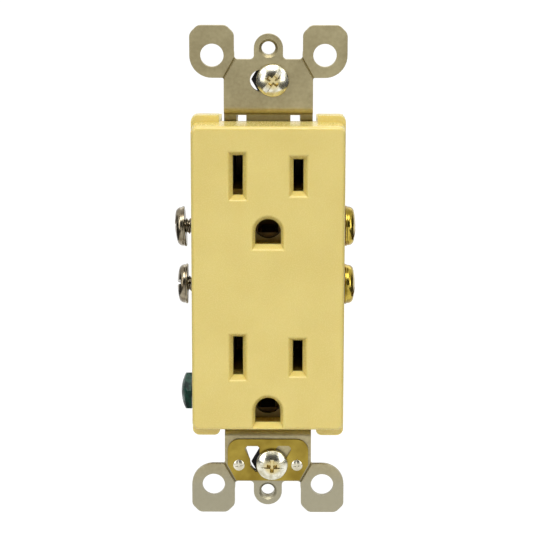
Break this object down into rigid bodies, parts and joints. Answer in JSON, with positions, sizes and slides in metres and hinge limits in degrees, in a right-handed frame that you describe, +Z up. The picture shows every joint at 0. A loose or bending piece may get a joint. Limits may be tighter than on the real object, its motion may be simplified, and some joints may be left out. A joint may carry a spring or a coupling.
{
  "type": "duplex wall outlet",
  "caption": "Ivory duplex wall outlet with a rectangular face on a plated steel strap, with side terminals.",
  "frame": {"origin": "midway between the two wall-plate screw holes, on the back face of the strap", "axes": "+X right, +Y into the wall, +Z up; the face looks along -Y"},
  "size_m": [0.0393, 0.0294, 0.1064],
  "materials": {
    "ivory_cover": "satin moulded thermoplastic, ivory",
    "ivory_body": "moulded thermoplastic, ivory",
    "zinc_steel": "zinc plated with a yellow passivate",
    "clip_brass": "rolled brass sheet",
    "rivet_steel": "zinc plated",
    "brass": "bright brass",
    "tinned_brass": "brass plated with nickel",
    "contact_brass": "spring brass",
    "nickel_steel": "nickel plated",
    "green_steel": "green coated",
    "zinc_screw": "zinc plated",
    "black_fibre": "black fibre",
    "spring_steel": "bare spring steel"
  },
  "bodies": {
    "device": {"front_cover": "ivory_cover", "back_body": "ivory_body", "strap": "zinc_steel", "ground_clip": "clip_brass", "clip_rivets": "rivet_steel", "hot_bus": "brass", "neutral_bus": "tinned_brass", "upper_ground_contact": "contact_brass", "lower_ground_contact": "contact_brass", "contact_rivets": "rivet_steel", "hot_upper_wire_clip": "spring_steel", "hot_lower_wire_clip": "spring_steel", "neutral_upper_wire_clip": "spring_steel", "neutral_lower_wire_clip": "spring_steel", "body_rivets": "rivet_steel"},
    "hot_upper_screw": {"hot_upper_screw": "brass"},
    "hot_lower_screw": {"hot_lower_screw": "brass"},
    "neutral_upper_screw": {"neutral_upper_screw": "nickel_steel"},
    "neutral_lower_screw": {"neutral_lower_screw": "nickel_steel"},
    "ground_screw": {"ground_screw": "green_steel"},
    "upper_box_screw": {"upper_box_screw": "zinc_screw"},
    "lower_box_screw": {"lower_box_screw": "zinc_screw"},
    "upper_screw_washer": {"upper_screw_washer": "black_fibre"},
    "lower_screw_washer": {"lower_screw_washer": "black_fibre"}
  },
  "joints": [
    {"name": "hot_upper_screw_travel", "type": "slide", "parent": "device", "child": "hot_upper_screw", "axis": [1, 0, 0], "range_m": [-0.0002, 0.003]},
    {"name": "hot_lower_screw_travel", "type": "slide", "parent": "device", "child": "hot_lower_screw", "axis": [1, 0, 0], "range_m": [-0.0002, 0.003]},
    {"name": "neutral_upper_screw_travel", "type": "slide", "parent": "device", "child": "neutral_upper_screw", "axis": [-0.9976, 0, -0.0698], "range_m": [-0.0012, 0.0018]},
    {"name": "neutral_lower_screw_travel", "type": "slide", "parent": "device", "child": "neutral_lower_screw", "axis": [-1, 0, 0], "range_m": [-0.0011, 0.002]},
    {"name": "ground_screw_travel", "type": "slide", "parent": "device", "child": "ground_screw", "axis": [-1, 0, 0], "range_m": [-0.0005, 0.002]},
    {"name": "upper_washer_shift", "type": "slide", "parent": "device", "child": "upper_screw_washer", "axis": [1, 0, 0], "range_m": [-0.0026, 0.0009]},
    {"name": "lower_washer_shift", "type": "slide", "parent": "device", "child": "lower_screw_washer", "axis": [1, 0, 0], "range_m": [-0.0022, 0.0004]},
    {"name": "upper_box_screw_travel", "type": "slide", "parent": "upper_screw_washer", "child": "upper_box_screw", "axis": [0, -1, 0], "range_m": [-0.0001, 0.02]},
    {"name": "lower_box_screw_travel", "type": "slide", "parent": "lower_screw_washer", "child": "lower_box_screw", "axis": [0, -1, 0], "range_m": [-0.0001, 0.02]}
  ]
}
